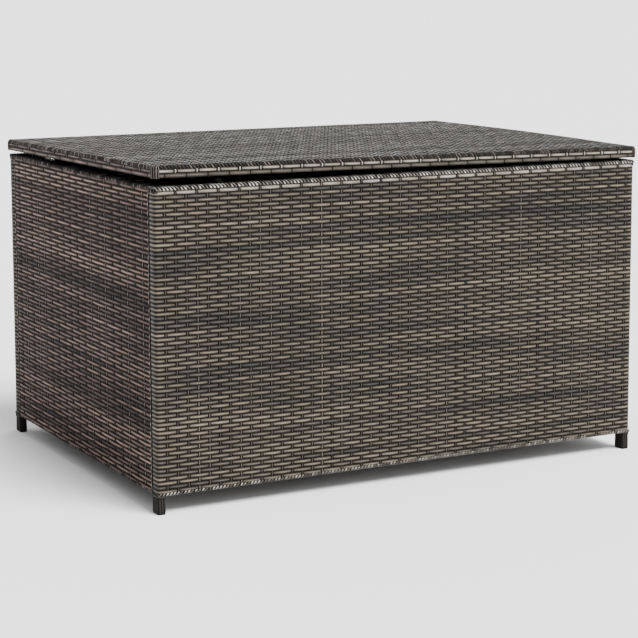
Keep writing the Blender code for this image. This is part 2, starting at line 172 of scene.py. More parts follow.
def layStripMap(obj, pitch, start, row=0.0, along=0, across=2, fold=None):
    # u runs along the strips in metres, v counts the strips
    mesh = obj.data
    place = np.empty(len(mesh.vertices) * 3)
    mesh.vertices.foreach_get("co", place)
    place = place.reshape(-1, 3)
    corner = np.empty(len(mesh.loops), dtype=np.int32)
    mesh.loops.foreach_get("vertex_index", corner)
    u = place[:, along].copy()
    if fold is not None:  # the run round a corner post counts as length too
        u += np.sign(u) * (place[:, 1] - fold)
    v = (place[:, across] - start) / pitch + row
    uv = np.stack([u[corner], v[corner]], axis=1)
    layer = mesh.uv_layers.get("strip") or mesh.uv_layers.new(name="strip")
    layer.data.foreach_set("uv", uv.astype(np.float32).ravel())


def makeUneven(obj, steps):
    for amount, size, direction in steps:
        roughen(obj, amount, size, direction)


def movePoints(obj, change):
    # change takes and returns an array of points
    mesh = obj.data
    place = np.empty(len(mesh.vertices) * 3)
    mesh.vertices.foreach_get("co", place)
    place = change(place.reshape(-1, 3))
    mesh.vertices.foreach_set("co", place.ravel())
    mesh.update()


def roundedTrack(halfX, halfY, radius):
    # straight and curved runs from the middle of the back, by way of the left side and the front;
    # each run is (length, start, direction, turn centre)
    fx, fy = halfX - radius, halfY - radius
    arc = math.pi * radius / 2
    return [
        (fx, (0, halfY), 180, None), (arc, None, 180, (-fx, fy)),
        (2 * fy, (-halfX, fy), 270, None), (arc, None, 270, (-fx, -fy)),
        (2 * fx, (-fx, -halfY), 0, None), (arc, None, 0, (fx, -fy)),
        (2 * fy, (halfX, -fy), 90, None), (arc, None, 90, (fx, fy)),
        (fx, (fx, halfY), 180, None)]


def shiftAlong(obj, distance):
    movePoints(obj, lambda points: points + np.array([distance, 0, 0]))


def trackLength(track):
    return sum(run[0] for run in track)


def wrapRound(obj, track, radius):
    # bends a straight band, drawn along X with its outside towards -Y
    def bend(place):
        along, out, up = place[:, 0].copy(), -place[:, 1].copy(), place[:, 2].copy()
        start = 0.0
        for length, corner, heading, centre in track:
            last = corner == track[-1][1]
            mask = (along >= start - 1e-9) & ((along < start + length) | last)
            if heading == 180 and corner is not None and not last:
                mask |= along < 0
            s, n = along[mask] - start, out[mask]
            if centre is None:
                a = math.radians(heading)
                place[mask, 0] = corner[0] + s * math.cos(a) + n * math.sin(a)
                place[mask, 1] = corner[1] + s * math.sin(a) - n * math.cos(a)
            else:
                a = math.radians(heading) + s / radius
                place[mask, 0] = centre[0] + (radius + n) * np.sin(a)
                place[mask, 1] = centre[1] - (radius + n) * np.cos(a)
            start += length
        place[:, 2] = up
        return place
    movePoints(obj, bend)


def newFinish(name, **shaderValues):
    finish = bpy.data.materials.new(name)
    finish.use_nodes = True
    tree = finish.node_tree
    tree.nodes.clear()
    shader = tree.nodes.new("ShaderNodeBsdfPrincipled")
    output = tree.nodes.new("ShaderNodeOutputMaterial")
    tree.links.new(shader.outputs["BSDF"], output.inputs["Surface"])
    for key, value in shaderValues.items():
        shader.inputs[key.replace("_", " ")].default_value = value
    return finish, tree, shader


def addNode(tree, kind, inputs=(), **settings):
    node = tree.nodes.new("ShaderNode" + kind)
    for key, value in settings.items():
        setattr(node, key, value)
    for key, value in dict(inputs).items():
        if isinstance(value, bpy.types.NodeSocket):
            tree.links.new(value, node.inputs[key])
        else:
            node.inputs[key].default_value = value
    return node


def calc(tree, operation, a, b=0.0, clamp=False):
    return addNode(tree, "Math", {0: a, 1: b}, operation=operation, use_clamp=clamp).outputs[0]


def blendColour(tree, factor, a, b, mode="MIX"):
    node = addNode(tree, "Mix", {"Factor": factor}, data_type="RGBA", blend_type=mode)
    for socket, value in zip([s for s in node.inputs if s.type == "RGBA"], (a, b)):
        if isinstance(value, bpy.types.NodeSocket):
            tree.links.new(value, socket)
        else:
            socket.default_value = value
    return [s for s in node.outputs if s.type == "RGBA"][0]


def rampOf(tree, factor, stops):
    node = addNode(tree, "ValToRGB", {"Fac": factor})
    ramp = node.color_ramp
    while len(ramp.elements) < len(stops):
        ramp.elements.new(0.5)
    for element, (at, colour) in zip(ramp.elements, stops):
        element.position = at
        element.color = (*colour, 1)
    return node.outputs["Color"]


stripLook = dict(
    # the shade power and the dark colour here paint shade into the grooves and where strips dive
    gloss=0.40, shine=0.10, grime=2.1, paintedShadeColour=(0.0012, 0.0010, 0.0008, 1), seed=0.0,
    driftLength=5.0, driftRows=0.9, driftAmount=1.3,
    bandLength=1.3, bandRows=0.16, bandAmount=1.1, rowAmount=0.5,
    streakLength=14.0, streakRows=5.0, streakTones=[(0.3, (0.80, 0.80, 0.80)), (0.7, (1.12, 1.11, 1.10))],
    streakGloss=0.16, grooveGloss=0.22, openGloss=0.30,  # how much each moves the roughness
    ridges=4.500143, ridgeLength=0.6, ridgeDepth=0.6, streakDepth=0.8, bump=0.35, bumpDepth=0.00025,
    tones=[(0.0, (0.056, 0.053, 0.049)), (0.3, (0.098, 0.085, 0.070)), (0.55, (0.158, 0.133, 0.103)),
           (0.8, (0.215, 0.178, 0.132)), (1.0, (0.275, 0.230, 0.178))])


def stripFinish(name, **changes):
    # extruded plastic: colour drifts along each strip, streaks and fine ridges run with it
    look = {**stripLook, **changes}
    finish, tree, shader = newFinish(name, Roughness=look["gloss"], IOR=1.5, Specular_IOR_Level=look["shine"])
    place = addNode(tree, "SeparateXYZ", {0: addNode(tree, "UVMap", uv_map="strip").outputs[0]})
    along, count = place.outputs[0], place.outputs[1]
    row = calc(tree, "FLOOR", count)
    own = addNode(tree, "TexWhiteNoise", {"W": row}, noise_dimensions="1D").outputs["Value"]
    alongShifted = calc(tree, "ADD", calc(tree, "MULTIPLY", along, look["driftLength"]),
                        calc(tree, "MULTIPLY", own, 3.0))
    drift = addNode(tree, "TexNoise", {
        "Vector": addNode(tree, "CombineXYZ", {
            0: alongShifted, 1: calc(tree, "MULTIPLY", row, look["driftRows"]), 2: look["seed"]}).outputs[0],
        "Scale": 1.0, "Detail": 2.0, "Roughness": 0.6}).outputs[0]
    bands = addNode(tree, "TexNoise", {
        "Vector": addNode(tree, "CombineXYZ", {
            0: calc(tree, "MULTIPLY", along, look["bandLength"]),
            1: calc(tree, "MULTIPLY", row, look["bandRows"]), 2: look["seed"] + 7.0}).outputs[0],
        "Scale": 1.0, "Detail": 1.0}).outputs[0]
    tone = calc(tree, "ADD",
                calc(tree, "MULTIPLY", calc(tree, "SUBTRACT", drift, 0.5), look["driftAmount"]),
                calc(tree, "MULTIPLY", calc(tree, "SUBTRACT", bands, 0.5), look["bandAmount"]))
    rowTone = calc(tree, "MULTIPLY", calc(tree, "SUBTRACT", own, 0.5), look["rowAmount"])
    tone = calc(tree, "ADD", tone, rowTone)
    tone = calc(tree, "ADD", tone, 0.5, clamp=True)
    colour = rampOf(tree, tone, look["tones"])
    streak = addNode(tree, "TexNoise", {
        "Vector": addNode(tree, "CombineXYZ", {
            0: calc(tree, "MULTIPLY", along, look["streakLength"]),
            1: calc(tree, "MULTIPLY", count, look["streakRows"])}).outputs[0],
        "Scale": 1.0, "Detail": 3.0, "Roughness": 0.6}).outputs[0]
    clean = blendColour(tree, 1.0, colour, rampOf(tree, streak, look["streakTones"]), "MULTIPLY")
    unshaded = addNode(tree, "Attribute", attribute_name="open", attribute_type="GEOMETRY").outputs["Fac"]
    grime = calc(tree, "POWER", unshaded, look["grime"])  # painted shade darkens the grooves and the dives under the stakes
    tree.links.new(blendColour(tree, grime, look["paintedShadeColour"], clean), shader.inputs["Base Color"])
    worn = calc(tree, "SUBTRACT", look["gloss"] + look["grooveGloss"],
                calc(tree, "MULTIPLY", grime, look["openGloss"]))
    tree.links.new(calc(tree, "ADD", calc(tree, "MULTIPLY", streak, look["streakGloss"]), worn),
                   shader.inputs["Roughness"])
    ridges = addNode(tree, "TexWave", {
        "Vector": addNode(tree, "CombineXYZ", {
            0: calc(tree, "MULTIPLY", along, look["ridgeLength"]), 1: count}).outputs[0],
        "Scale": look["ridges"], "Distortion": 0.4, "Detail": 1.0},
        wave_type="BANDS", bands_direction="Y").outputs["Fac"]
    grain = calc(tree, "ADD", calc(tree, "MULTIPLY", ridges, look["ridgeDepth"]),
                 calc(tree, "MULTIPLY", streak, look["streakDepth"]))
    bump = addNode(tree, "Bump", {"Height": grain, "Strength": look["bump"], "Distance": look["bumpDepth"]})
    tree.links.new(bump.outputs[0], shader.inputs["Normal"])
    return finish


panelFinish = stripFinish("panel_strip")
sideFinish = stripFinish("side_strip", shine=0.05, seed=21.0, rowAmount=0.6, grime=2.6, tones=[
    (0.0, (0.034, 0.023, 0.020)), (0.5, (0.162, 0.106, 0.088)), (1.0, (0.410, 0.282, 0.232))])
# stake tones darker than the strips: painted shade of stakes lying back between the strip ends
stakeFinish = stripFinish("stake_strip", seed=3.0, bandRows=0.5, tones=[
    (0.0, (0.032, 0.029, 0.024)), (0.6, (0.080, 0.068, 0.054)), (1.0, (0.17, 0.148, 0.122))])
sideStakeFinish = stripFinish("side_stake_strip", seed=33.0, bandRows=0.5, rowAmount=1.6, tones=[
    (0.0, (0.020, 0.015, 0.013)), (0.6, (0.075, 0.056, 0.049)), (1.0, (0.27, 0.220, 0.195))])
# rim wraps much lighter than the panels: painted highlight on the rim; the side rim tones below are the darker,
# shaded copy
rimFinish = stripFinish("rim_strip", seed=5.0, rowAmount=1.3, driftAmount=0.8, tones=[
    (0.0, (0.14, 0.124, 0.104)), (0.5, (0.40, 0.362, 0.315)), (1.0, (0.74, 0.70, 0.65))])
sideRimFinish = stripFinish("side_rim_strip", seed=25.0, rowAmount=1.3, tones=[
    (0.0, (0.026, 0.020, 0.017)), (0.6, (0.078, 0.060, 0.052)), (1.0, (0.40, 0.35, 0.32))])
strandFinish = stripFinish("seam_strand", seed=35.0, rowAmount=0.0, tones=[
    (0.0, (0.24, 0.215, 0.190)), (0.5, (0.42, 0.385, 0.345)), (1.0, (0.62, 0.58, 0.53))])
# edge tones far lighter than the panel's are painted light; the lower edge tones are darker, painted shade
# under the upper row
edgeFinish = stripFinish(
    "lid_edge_strip", seed=12.0, bandLength=9.0, driftLength=12.0, driftAmount=1.7, grime=1.4, tones=[
        (0.0, (0.19, 0.165, 0.130)), (0.5, (0.42, 0.375, 0.315)), (1.0, (0.80, 0.77, 0.72))])
lowerEdgeFinish = stripFinish(
    "lid_lower_edge_strip", seed=14.0, bandLength=9.0, driftLength=10.0, grime=1.4, tones=[
        (0.0, (0.052, 0.046, 0.038)), (0.5, (0.098, 0.085, 0.069)), (1.0, (0.165, 0.146, 0.122))])
sideEdgeFinish = stripFinish("lid_side_edge_strip", seed=27.0, bandLength=9.0, driftLength=10.0, tones=[
    (0.0, (0.058, 0.038, 0.031)), (0.5, (0.175, 0.116, 0.096)), (1.0, (0.38, 0.262, 0.218))])
edgeRibFinish = stripFinish("lid_edge_rib_strip", seed=29.0, rowAmount=1.3, tones=[
    (0.0, (0.012, 0.010, 0.008)), (0.6, (0.038, 0.030, 0.024)), (1.0, (0.13, 0.107, 0.088))])
cornerFinish = stripFinish("lid_corner_strip", seed=31.0, rowAmount=0.7, tones=[
    (0.0, (0.070, 0.058, 0.050)), (0.5, (0.125, 0.105, 0.092)), (1.0, (0.21, 0.183, 0.162))])
# near-black stake tones are painted shade: the stakes lie back between the lid's strips
lidStakeFinish = stripFinish("lid_stake_strip", seed=37.0, tones=[
    (0.0, (0.006, 0.006, 0.005)), (0.6, (0.016, 0.015, 0.013)), (1.0, (0.050, 0.046, 0.042))])
footFinish = stripFinish("foot_strip", seed=15.0, tones=[
    (0.0, (0.016, 0.014, 0.012)), (0.5, (0.030, 0.025, 0.022)), (1.0, (0.070, 0.060, 0.050))])
# lid strips lighter and greyer than the panels: painted sheen of light falling on the top
lidFinish = stripFinish(
    "lid_strip", seed=9.0, bandAmount=0.7, driftAmount=1.6, driftLength=9.0, grime=2.8, tones=[
        (0.0, (0.075, 0.070, 0.065)), (0.5, (0.285, 0.268, 0.250)), (1.0, (0.600, 0.580, 0.550))])


def plainFinish(name, colour, gloss, metal=0.0, mottle=0.12, grainSize=900.0, grain=0.15, wear=0.11, **more):
    # paint, plastic, rubber or plated steel: fine grain, a slow mottle and worn gloss
    finish, tree, shader = newFinish(name, Metallic=metal, Roughness=gloss, **more)
    place = addNode(tree, "TexCoord").outputs["Object"]
    slow = addNode(tree, "TexNoise", {"Vector": place, "Scale": 22.0, "Detail": 4.0}).outputs[0]
    fine = addNode(tree, "TexNoise", {"Vector": place, "Scale": grainSize, "Detail": 2.0}).outputs[0]
    low = tuple(c * (1 - mottle) for c in colour)
    high = tuple(min(c * (1 + mottle), 1.0) for c in colour)
    tree.links.new(rampOf(tree, slow, [(0.3, low), (0.7, high)]), shader.inputs["Base Color"])
    tree.links.new(calc(tree, "ADD", calc(tree, "MULTIPLY", slow, 2 * wear), gloss - wear),
                   shader.inputs["Roughness"])
    bump = addNode(tree, "Bump", {"Height": fine, "Strength": grain, "Distance": 0.0002})
    tree.links.new(bump.outputs[0], shader.inputs["Normal"])
    return finish


frameFinish = plainFinish("powder_coat", (0.030, 0.026, 0.023), 0.5, grain=0.35)
zincFinish = plainFinish("zinc_plate", (0.62, 0.61, 0.58), 0.34, metal=1.0, mottle=0.18, grain=0.08)
cylinderFinish = plainFinish("black_lacquer", (0.016, 0.016, 0.017), 0.28, grain=0.04)
rodFinish = plainFinish("polished_rod", (0.75, 0.75, 0.76), 0.14, metal=1.0, mottle=0.05, grain=0.02)
rubberFinish = plainFinish("black_rubber", (0.005, 0.005, 0.005), 0.75, grain=0.5, Specular_IOR_Level=0.1)
boardFinish = plainFinish("floor_board_grain", (0.060, 0.052, 0.046), 0.55, mottle=0.2, grainSize=350.0,
                          grain=0.5)


def finishNode(node, finish):
    for slot in node.material_slots:
        slot.link = "OBJECT"
        slot.material = finish


for name, node in nodes.items():
    if "glide" in name or "bumper" in name:
        finishNode(node, rubberFinish)
    elif "strut_cylinder" in name:
        finishNode(node, cylinderFinish)
    elif "strut_rod" in name:
        finishNode(node, rodFinish)
    elif "bolt" in name or "hinge" in name or "bracket" in name:
        finishNode(node, zincFinish)
    elif name == "floor_board":
        finishNode(node, boardFinish)
    elif not name.endswith("weave"):
        finishNode(node, frameFinish)
print("finishes made")


def finished(obj, finish, body, slotName, *stoodFor):
    obj.data.materials.clear()
    obj.data.materials.append(finish)
    roundOff(obj, 50)
    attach(obj, body)
    if stoodFor:
        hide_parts(*stoodFor)
    return obj


# the number of each piece's first strip, set apart so that neighbours don't share their colour draws
firstNumber = dict(
    front=0, topRow=90, frontStakes=200, back=400, left=600, sideStakes=700, strands=760, right=800,
    longRim=1000, sideRim=1500, rimEnds=1900, foot=2000, footBand=2020, lid=3000, lidStakes=3200,
    lowerEdge=4000, upperEdge=4050, edgeStakes=4100, edgeRibs=5000, corner=5600, under=6000)

longPanel = dict(
    face=0.43835, post=0.59865, turn=0.0055, seam=0.4093, tuck=0.5870, ease=0.0025, postFace=0.44,
    rows=71, rowPitch=0.00885, firstRow=0.0445, stripWide=0.0103, stripThick=0.00185, bow=0.00120,
    topRowOut=0.0003,
    stakes=49, stakePitch=0.02408, stakeWide=0.0052, stakeThick=0.0018, stakeBow=0.00060,
    uneven=[(0.0006, 0.020, "Z"), (0.0008, 0.055, "Y")])

wallDive = dict(hidden=0.0029, edge=0.0046, crest=0.0034)  # along the strip, from the middle of a stake
# how far out a strip lies, from 1 to -1, and its over value, which sets the painted shade
atCrest, atMiddle = (0.95, 0.9), (0.40, 0.0)
atEdge, atHidden, atUnder = (-0.05, -0.60), (-0.50, -0.96), (-1.0, -1.0)


def weftRun(crossings, middle=False, dive=wallDive):
    # crossings are (place, 1 over or -1 under); gives (place, how far out, over)
    run = []
    for i, (place, sign) in enumerate(crossings):
        if middle and i:
            run.append(((place + crossings[i - 1][0]) / 2, *atMiddle))
        if sign > 0:
            run += [(place - dive["crest"], *atCrest), (place + dive["crest"], *atCrest)]
        else:
            run += [(place - dive["edge"], *atEdge), (place - dive["hidden"], *atHidden), (place, *atUnder),
                    (place + dive["hidden"], *atHidden), (place + dive["edge"], *atEdge)]
    return run


def firstStakeOf(p):
    return -(p["stakes"] - 1) * p["stakePitch"] / 2


def panelCrossings(p, over):
    first = firstStakeOf(p)
    return [(first + i * p["stakePitch"], over if i % 2 == 0 else -over) for i in range(p["stakes"])]


def longRow(p, over):
    # out of the seam, round the left post, along the face, round the right post
    face, post, r = -p["face"], p["post"], p["turn"]
    back = -p["seam"]
    left = [(-p["tuck"], back, 180), (-post + p["ease"], back, 180), (-post, back - p["ease"], 270),
            (-post, face + r, 270)]
    for degrees in (30, 60):
        a = math.radians(degrees)
        left.append((-post + r - r * math.cos(a), face + r - r * math.sin(a), 270 + degrees))
    left.append((-post + r, face, 360))
    middle = [(x, face - p["bow"] * out, 0.0, 360, hidden)
              for x, out, hidden in weftRun(panelCrossings(p, over))]
    right = [(-x, y, 720 - heading) for x, y, heading in reversed(left)]
    return ([(x, y, 0.0, heading, 0.0) for x, y, heading in left] + middle
            + [(x, y, 0.0, heading, 0.0) for x, y, heading in right])


def wovenRows(name, p, rowPath, start, rows, pitch):
    even = drawStrip(name, rowPath(p, 1), p["stripWide"], p["stripThick"])
    odd = drawStrip(name + "_odd", rowPath(p, -1), p["stripWide"], p["stripThick"])
    even.location.z = start + pitch / 2
    odd.location.z = start + pitch * 1.5
    settle(even)
    settle(odd)
    repeat(even, (rows + 1) // 2, (0, 0, 2 * pitch))
    repeat(odd, rows // 2, (0, 0, 2 * pitch))
    return joined(name, even, odd)


def drawStake(name, length, pitch, wide, thick, bow, over=1, depth=0.6):
    # along X, forward over every other row; its over values paint shade on the face that lies back
    count = max(int(round(length / pitch)), 1)
    path = [(0, 0, 0, 0)]
    for i in range(count):
        wave = -over * (1 if i % 2 == 0 else -1)
        path.append(((i + 0.5) * pitch, -bow * wave, 0, 0, depth * wave))
    path.append((count * pitch, 0, 0, 0))
    return drawStrip(name, path, wide, thick)


def wovenStakes(name, p, turn, y, z, number, along):
    # turn lays a stake drawn along X in the panel's plane, its first end at (y, z)
    pair = []
    for word, over in ((name, 1), ("odd_stakes", -1)):
        stake = drawStake(word, p["rows"] * p["rowPitch"], p["rowPitch"], p["stakeWide"], p["stakeThick"],
                          p["stakeBow"], over)
        lay(stake, turn)
        lay(stake, at=(firstStakeOf(p) + (0 if over > 0 else p["stakePitch"]), y, z))
        repeat(stake, (p["stakes"] + (1 if over > 0 else 0)) // 2, (2 * p["stakePitch"], 0, 0))
        pair.append(stake)
    stakes = joined(name, *pair)
    layStripMap(stakes, p["stakePitch"], firstStakeOf(p) - p["stakePitch"] / 2, number, along=along, across=0)
    return stakes


p = longPanel
frontStrips = wovenRows("front_weave_strips", p, longRow, p["firstRow"], p["rows"] - 1, p["rowPitch"])
layStripMap(frontStrips, p["rowPitch"], p["firstRow"], firstNumber["front"], fold=-p["postFace"])
topRow = lay(drawStrip("front_top_row", longRow(p, 1), p["stripWide"], p["stripThick"]),
             at=(0, -p["topRowOut"], p["firstRow"] + (p["rows"] - 0.5) * p["rowPitch"]))
layStripMap(topRow, p["rowPitch"], p["firstRow"], firstNumber["topRow"], fold=-p["postFace"])
frontStakes = wovenStakes("front_weave_stakes", p, (0, -90, 0), -p["face"], p["firstRow"],
                          firstNumber["frontStakes"], along=2)
for piece in (frontStrips, frontStakes, topRow):
    makeUneven(piece, p["uneven"])

backStrips = lay(copyOf(frontStrips, "back_weave_strips"), (0, 0, 180))
backStakes = lay(copyOf(frontStakes, "back_weave_stakes"), (0, 0, 180))
backTopRow = lay(copyOf(topRow, "back_top_row"), (0, 0, 180))
layStripMap(backStrips, p["rowPitch"], p["firstRow"], firstNumber["back"])
finished(frontStrips, panelFinish, "root", "weave", "front_weave")
finished(frontStakes, stakeFinish, "root", "weave")
finished(backStrips, panelFinish, "root", "weave", "back_weave")
finished(backStakes, stakeFinish, "root", "weave")
finished(topRow, edgeFinish, "root", "weave")
finished(backTopRow, edgeFinish, "root", "weave")
print("long panels woven")

sidePanel = dict(
    face=0.59850, end=0.4050, rows=69, rowPitch=0.00916, firstRow=0.0430, stripWide=0.0106,
    stripThick=0.00185, bow=0.00115, stakes=19, stakePitch=0.04156, stakeWide=0.0056, stakeThick=0.0022,
    stakeBow=0.00085, endTuck=0.0012, strandAt=0.4047, strandWide=0.0060, strandThick=0.0026,
    strandBow=0.00055, strandOut=0.0001, strandCover=0.006, uneven=[(0.0007, 0.022, "Z"), (0.0007, 0.055, "Y")])


def sideRow(p, over):
    face = -p["face"]
    middle = [(x, face - p["bow"] * out, 0.0, 0, hidden)
              for x, out, hidden in weftRun(panelCrossings(p, over), middle=True)]
    tucked = face + p["endTuck"]
    return ([(-p["end"], tucked, 0, 0, 0), (-p["strandAt"] + p["strandCover"], face, 0, 0, 0)] + middle
            + [(p["strandAt"] - p["strandCover"], face, 0, 0, 0), (p["end"], tucked, 0, 0, 0)])


p = sidePanel
strips = wovenRows("left_weave_strips", p, sideRow, p["firstRow"], p["rows"], p["rowPitch"])
layStripMap(strips, p["rowPitch"], p["firstRow"], firstNumber["left"])
stakes = wovenStakes("left_weave_stakes", p, (0, -90, 0), -p["face"], p["firstRow"],
                     firstNumber["sideStakes"], along=2)
# strand that covers the cut ends beside each seam
strand = lay(drawStake("left_seam_strands", p["rows"] * p["rowPitch"], p["rowPitch"], p["strandWide"],
                       p["strandThick"], p["strandBow"], 1, depth=0.95), (0, -90, 0))
lay(strand, at=(-p["strandAt"], -p["face"] - p["strandOut"], p["firstRow"]))
repeat(strand, 2, (2 * p["strandAt"], 0, 0))
layStripMap(strand, 0.8, -0.4, firstNumber["strands"], along=2, across=0)

for piece in (strips, stakes, strand):
    makeUneven(piece, p["uneven"])
rightStrips = copyOf(strips, "right_weave_strips")
rightStakes = copyOf(stakes, "right_weave_stakes")
rightStrand = copyOf(strand, "right_seam_strands")
layStripMap(rightStrips, p["rowPitch"], p["firstRow"], firstNumber["right"])
for piece in (strips, stakes, strand):
    lay(piece, (0, 0, -90))
for piece in (rightStrips, rightStakes, rightStrand):
    lay(piece, (0, 0, 90))
finished(strips, sideFinish, "root", "weave", "left_weave")
finished(rightStrips, sideFinish, "root", "weave", "right_weave")
for piece in (stakes, rightStakes):
    finished(piece, sideStakeFinish, "root", "weave")
for piece in (strand, rightStrand):
    finished(piece, strandFinish, "root", "weave")
print("side panels woven")

# dark caps over the panel bolts, pushed into the seams
cap = dict(seamY=0.4098, outX=0.5992, wide=0.0042, tall=0.0210, deep=0.0060, levels=(0.540, 0.180),
           inset=0.0008, proud=0.0005)
p = cap
for word, sign in (("left", -1), ("right", 1)):
    caps = []
    for level in p["levels"]:
        for faceSign in (-1, 1):
            clearSelection()
            bpy.ops.mesh.primitive_cylinder_add(vertices=16, radius=0.5, depth=1,
                                                rotation=(0, math.pi / 2, 0))
            piece = bpy.context.object
            settle(piece)
            piece.scale = (p["deep"], p["wide"], p["tall"])
            lay(piece, at=(sign * (p["outX"] - p["deep"] / 2), faceSign * p["seamY"], level))
            openMesh(piece, False)
            bm = bmesh.from_edit_mesh(piece.data)
            for face in bm.faces:
                face.select = face.normal.x * sign > 0.9
            bmesh.update_edit_mesh(piece.data)
            bpy.ops.mesh.inset(thickness=p["inset"])
            bpy.ops.transform.translate(value=(sign * p["proud"], 0, 0))
            closeMesh()
            caps.append(piece)
    finished(joined(f"{word}_seam_caps", *caps), rubberFinish, "root", "rubber")

rim = dict(top=0.6796, low=0.6738, insideLow=0.6640, turn=0.0045, pitch=0.00803, wide=0.0074, thick=0.0030,
           lean=0.0068, leanOver=0.0105, longEnd=0.5975, longOutside=0.43985, longInside=0.4058, reach=0.5992,
           sideEnd=0.4030, sideOutside=0.59960, sideInside=0.5760, middleHeight=0.360,
           longUneven=[(0.0008, 0.012, "X"), (0.0006, 0.030, "Z")],
           sideUneven=[(0.0008, 0.012, "Y"), (0.0006, 0.030, "Z")])


def ribPath(outer, inner, p):
    # up the outside, over the top and down the inside, leaning most on the outside; the over values paint shade
    # on one face of the wrap
    r, top = p["turn"], p["top"]
    raw = [(outer, -p["low"], 270)]
    raw += [(outer + r - r * math.cos(math.radians(a)), -(top - r + r * math.sin(math.radians(a))), 270 + a)
            for a in (0, 45, 90)]
    raw += [(inner - r + r * math.sin(math.radians(a)), -(top - r + r * math.cos(math.radians(a))), 360 + a)
            for a in (0, 45, 90)]
    raw.append((inner, -p["insideLow"], 450))
    length = [0.0]
    for a, b in zip(raw, raw[1:]):
        length.append(length[-1] + math.hypot(b[0] - a[0], b[1] - a[1]))
    return [(x, y, p["lean"] * (min(s / p["leanOver"], 1) - 0.5), heading, 0.9 if s < 0.002 else -0.62)
            for (x, y, heading), s in zip(raw, length)]


p = rim
longRib = drawStrip("front_rim_wrap", ribPath(-p["longOutside"], -p["longInside"], p), p["wide"], p["thick"])
lay(longRib, (-90, 0, 90), (-p["longEnd"], 0, 0))
count = int(2 * p["longEnd"] / p["pitch"]) + 1
step = 2 * p["longEnd"] / (count - 1)
repeat(longRib, count, (step, 0, 0))
layStripMap(longRib, step, -p["longEnd"], firstNumber["longRim"], along=1, across=0)
movePoints(longRib, lambda points: np.clip(points, (-p["reach"], -1, 0), (p["reach"], 1, 1)))
sideRib = drawStrip("left_rim_wrap", ribPath(-p["sideOutside"], -p["sideInside"], p), p["wide"], p["thick"])
lay(sideRib, (-90, 0, 0), (0, -p["sideEnd"], 0))
count = int(2 * p["sideEnd"] / p["pitch"]) + 1
step = 2 * p["sideEnd"] / (count - 1)
repeat(sideRib, count, (0, step, 0))
layStripMap(sideRib, step, -p["sideEnd"], firstNumber["sideRim"], along=0, across=1)
for piece in (longRib, sideRib):
    makeUneven(piece, p["longUneven" if piece is longRib else "sideUneven"])
    # the lower edge is wrapped the same way, upside down
    lower = copyOf(piece, piece.name.replace("rim", "hem"))
    openMesh(lower)
    bpy.ops.transform.resize(value=(1, 1, -1), orient_type="GLOBAL",
                             center_override=(0, 0, p["middleHeight"]))
    bpy.ops.mesh.normals_make_consistent(inside=False)
    closeMesh()
    for wrap in (piece, lower):
        other = lay(copyOf(wrap, wrap.name.replace("front", "back").replace("left", "right")), (0, 0, 180))
        finish = rimFinish if piece is longRib else sideRimFinish
        finished(wrap, finish, "root", "weave")
        finished(other, finish, "root", "weave")

# wraps round the top of each corner post, where the rims meet
rimEnd = dict(halfX=0.0090, halfY=0.0170, turn=0.0055, centreX=0.5906, centreY=0.42235, pitch=0.0050,
              wide=0.0047, thick=0.0022, keep=0.0035, low=0.6675, top=0.6797, shift=0.0025)
p = rimEnd
track = roundedTrack(p["halfX"], p["halfY"], p["turn"])
around = trackLength(track)
low, top = -p["low"], -p["top"]
endRibs = drawStrip("rim_end_wraps", [
    (0.0006, low, -0.002, 270), (0.0, low - 0.003, -0.001, 270), (0.0003, top + 0.0035, 0.0, 270),
    (0.0022, top + 0.0008, 0.0005, 315), (0.0050, top, 0.001, 360), (0.0085, top, 0.001, 360)],
    p["wide"], p["thick"])
lay(endRibs, (-90, 0, 90))
count = int(round(around / p["pitch"]))
repeat(endRibs, count, (around / count, 0, 0))
shiftAlong(endRibs, p["shift"])
layStripMap(endRibs, around / count, 0, firstNumber["rimEnds"], along=1, across=0)
wrapRound(endRibs, track, p["turn"])
openMesh(endRibs)
bpy.ops.mesh.bisect(plane_co=(p["keep"], 0, 0), plane_no=(1, 0, 0), use_fill=True, clear_outer=True)
closeMesh()
for sideWord, turn in (("left", 0), ("right", 180)):
    for faceWord, faceSign in (("front", -1), ("back", 1)):
        wraps = copyOf(endRibs, f"{faceWord}_{sideWord}_rim_end_wraps")
        lay(wraps, (0, 0, turn), ((-1 if turn == 0 else 1) * p["centreX"], faceSign * p["centreY"], 0))
        finished(wraps, sideRimFinish, "root", "weave")
bpy.data.objects.remove(endRibs)
print("rim and lower edge wrapped")

foot = dict(halfX=0.00830, halfY=0.01590, turn=0.0035, strands=16, strandWide=0.0056, strandThick=0.0013,
            bottom=0.0030, bandAt=0.0385, bandWide=0.0080, bandIn=0.0011, bandSteps=36, centreX=0.5905,
            centreY=0.4217, uneven=[(0.0010, 0.012, "Z")])
p = foot
track = roundedTrack(p["halfX"], p["halfY"], p["turn"])
around = trackLength(track)
strands = drawStrip("foot_strands", [(0, 0, 0, 0), (0.003, -0.0004, 0, 0), (0.020, -0.0002, 0.0006, 0),
                                     (0.0395, 0.0006, 0.0012, 0)], p["strandWide"], p["strandThick"])
lay(strands, (0, -90, 0), (0.001, 0, p["bottom"]))
repeat(strands, p["strands"], (around / p["strands"], 0, 0))
layStripMap(strands, around / p["strands"], 0, firstNumber["foot"], along=2, across=0)
bandPath = [(i * around / p["bandSteps"], -p["bandIn"], 0, 0) for i in range(p["bandSteps"] + 1)]
band = drawStrip("foot_band", bandPath, p["bandWide"], p["strandThick"])
lay(band, at=(0, 0, p["bandAt"]))
layStripMap(band, 0.02, p["bandAt"] - 0.01, firstNumber["footBand"])
footWrap = joined("front_left_foot_wrap", strands, band)
wrapRound(footWrap, track, p["turn"])
